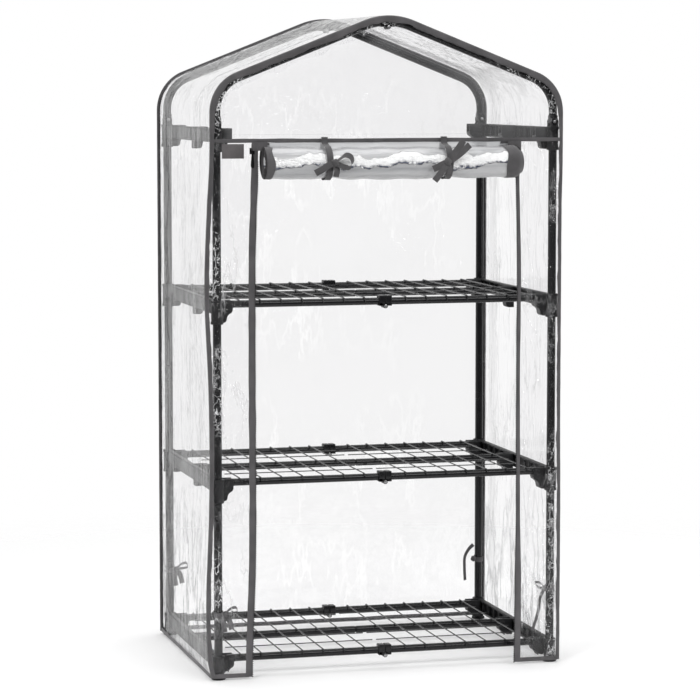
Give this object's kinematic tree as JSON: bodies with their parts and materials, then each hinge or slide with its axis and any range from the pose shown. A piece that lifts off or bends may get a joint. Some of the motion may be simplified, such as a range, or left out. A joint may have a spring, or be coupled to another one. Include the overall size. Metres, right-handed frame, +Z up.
{
  "type": "mini pop up greenhouse",
  "caption": "Folding tube frame with hinged wire shelves, under a fitted clear cover with fabric edges, a peaked roof and a roll-up front door.",
  "frame": {"origin": "on the floor, at the centre of the object's box", "axes": "+X to the right seen from the front, +Y to the back, +Z up; the door faces -Y"},
  "size_m": [0.6914, 0.5353, 1.2471],
  "materials": {
    "black_tube": "gloss black powder coat over steel tube and wire",
    "moulded_black": "black moulded nylon, satin",
    "steel": "plain steel pins and zip sliders",
    "clear_film": "clear soft PVC film, creased",
    "grey_fabric": "dark grey woven polyester tape",
    "label": "plain woven label with no lettering"
  },
  "bodies": {
    "left_frame": {"leg_front_left": "black_tube", "leg_back_left": "black_tube", "foot_front_left": "moulded_black", "foot_back_left": "moulded_black", "side_beam_bottom_left": "moulded_black", "side_beam_middle_left": "moulded_black", "side_beam_top_left": "moulded_black", "side_beam_eave_left": "moulded_black", "eave_pin_front_left": "steel", "eave_pin_back_left": "steel", "cover_side_left": "clear_film", "cover_strip_left": "clear_film", "zip_tape_left": "grey_fabric", "cover_label": "label", "cover_back": "clear_film", "cover_front_gable": "clear_film", "seam_tape": "grey_fabric", "binding_front": "grey_fabric", "binding_back": "grey_fabric", "door_roll": "clear_film", "door_tie_left": "grey_fabric", "door_tie_right": "grey_fabric"},
    "right_frame": {"leg_front_right": "black_tube", "leg_back_right": "black_tube", "foot_front_right": "moulded_black", "foot_back_right": "moulded_black", "side_beam_bottom_right": "moulded_black", "side_beam_middle_right": "moulded_black", "side_beam_top_right": "moulded_black", "side_beam_eave_right": "moulded_black", "eave_pin_front_right": "steel", "eave_pin_back_right": "steel", "cover_side_right": "clear_film", "cover_strip_right": "clear_film", "zip_tape_right": "grey_fabric"},
    "roof_left": {"arch_front_left": "black_tube", "arch_back_left": "black_tube", "apex_pin_front": "steel", "apex_pin_back": "steel", "cover_roof_left": "clear_film"},
    "roof_right": {"arch_front_right": "black_tube", "arch_back_right": "black_tube", "cover_roof_right": "clear_film"},
    "slider_left": {"zip_slider_left": "steel"},
    "slider_right": {"zip_slider_right": "steel"},
    "shelf_bottom_left_half": {"shelf_bottom_left": "black_tube", "shelf_pin_bottom_front": "steel", "shelf_pin_bottom_back": "steel"},
    "shelf_bottom_right_half": {"shelf_bottom_right": "black_tube"},
    "shelf_middle_left_half": {"shelf_middle_left": "black_tube", "shelf_pin_middle_front": "steel", "shelf_pin_middle_back": "steel"},
    "shelf_middle_right_half": {"shelf_middle_right": "black_tube"},
    "shelf_top_left_half": {"shelf_top_left": "black_tube", "shelf_pin_top_front": "steel", "shelf_pin_top_back": "steel"},
    "shelf_top_right_half": {"shelf_top_right": "black_tube"}
  },
  "joints": [
    {"name": "fold", "type": "hinge", "parent": "left_frame", "child": "shelf_middle_left_half", "pos_m": [-0.306, 0, 0.372], "axis": [0, -1, 0], "range_deg": [0, 82.5], "deforming": ["cover_back", "cover_front_gable", "seam_tape", "binding_front", "binding_back", "door_roll", "door_tie_left", "door_tie_right"]},
    {"name": "shelf_middle_centre", "type": "hinge", "parent": "shelf_middle_left_half", "child": "shelf_middle_right_half", "pos_m": [0, 0, 0.363], "axis": [0, 1, 0], "range_deg": [0, 165]},
    {"name": "right_frame_fold", "type": "hinge", "parent": "shelf_middle_right_half", "child": "right_frame", "pos_m": [0.306, 0, 0.372], "axis": [0, -1, 0], "range_deg": [0, 82.5]},
    {"name": "shelf_bottom_fold", "type": "hinge", "parent": "left_frame", "child": "shelf_bottom_left_half", "pos_m": [-0.306, 0, 0.036], "axis": [0, -1, 0], "range_deg": [0, 82.5]},
    {"name": "shelf_bottom_centre", "type": "hinge", "parent": "shelf_bottom_left_half", "child": "shelf_bottom_right_half", "pos_m": [0, 0, 0.027], "axis": [0, 1, 0], "range_deg": [0, 165]},
    {"name": "shelf_top_fold", "type": "hinge", "parent": "left_frame", "child": "shelf_top_left_half", "pos_m": [-0.306, 0, 0.709], "axis": [0, -1, 0], "range_deg": [0, 82.5]},
    {"name": "shelf_top_centre", "type": "hinge", "parent": "shelf_top_left_half", "child": "shelf_top_right_half", "pos_m": [0, 0, 0.7], "axis": [0, 1, 0], "range_deg": [0, 165]},
    {"name": "roof_left_fold", "type": "hinge", "parent": "left_frame", "child": "roof_left", "pos_m": [-0.33, 0, 1.048], "axis": [0, -1, 0], "range_deg": [0, 50.38]},
    {"name": "roof_right_fold", "type": "hinge", "parent": "right_frame", "child": "roof_right", "pos_m": [0.33, 0, 1.048], "axis": [0, 1, 0], "range_deg": [0, 50.38]},
    {"name": "zip_left", "type": "slide", "parent": "left_frame", "child": "slider_left", "axis": [0, 0, 1], "range_m": [-0.93, 0]},
    {"name": "zip_right", "type": "slide", "parent": "right_frame", "child": "slider_right", "axis": [0, 0, 1], "range_m": [-0.93, 0]}
  ],
  "couplings": [
    {"joint": "shelf_middle_centre", "follows": "fold", "ratio": 2},
    {"joint": "right_frame_fold", "follows": "fold", "ratio": 1},
    {"joint": "shelf_bottom_fold", "follows": "fold", "ratio": 1},
    {"joint": "shelf_bottom_centre", "follows": "fold", "ratio": 2},
    {"joint": "shelf_top_fold", "follows": "fold", "ratio": 1},
    {"joint": "shelf_top_centre", "follows": "fold", "ratio": 2},
    {"joint": "roof_left_fold", "follows": "fold", "ratio": 0.61062},
    {"joint": "roof_right_fold", "follows": "fold", "ratio": 0.61062}
  ]
}
